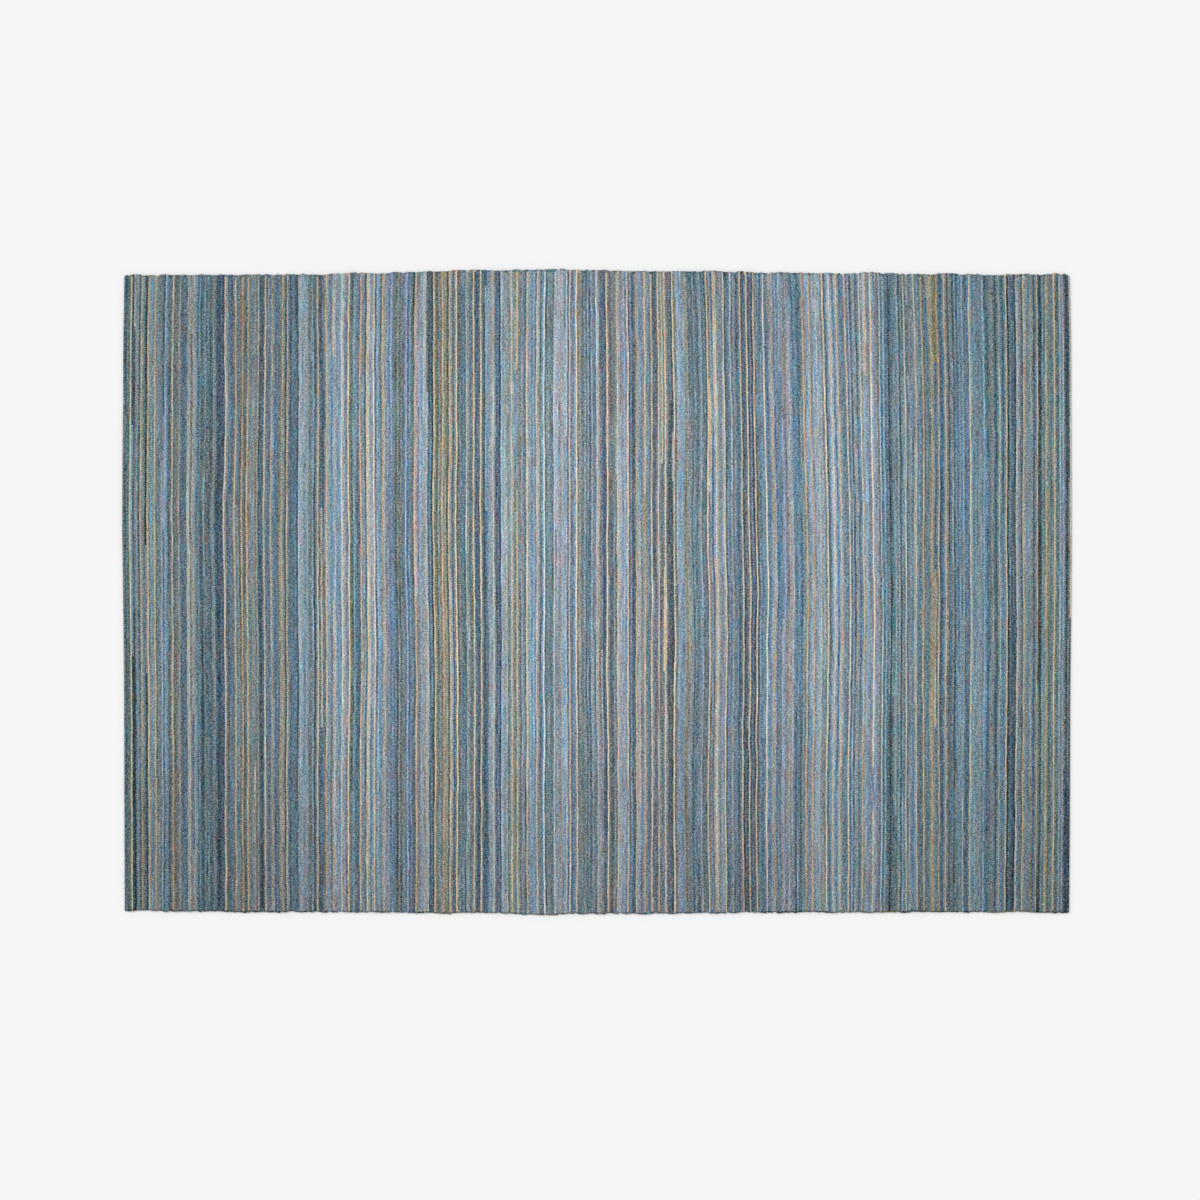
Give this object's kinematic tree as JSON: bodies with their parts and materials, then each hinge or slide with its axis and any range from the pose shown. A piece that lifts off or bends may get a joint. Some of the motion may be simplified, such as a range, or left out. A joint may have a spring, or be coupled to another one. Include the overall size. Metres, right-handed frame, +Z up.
{
  "type": "rag rug",
  "caption": "Flat plain-woven rag floor rug, a large rectangle striped across in blues with thin cream lines, lying flat.",
  "frame": {"origin": "centre of the rug's box, on the surface that it lies on", "axes": "+X along the rug's length, across the rag rows; +Y along the rag rows; +Z up, out of the face that is walked on"},
  "size_m": [2.7, 1.835, 0.007],
  "materials": {
    "rag_cloth": "matt plain-woven cotton rag in blues, greys and sage with thin cream and tan lines"
  },
  "bodies": {
    "root": {"woven_rug": "rag_cloth"}
  },
  "joints": []
}
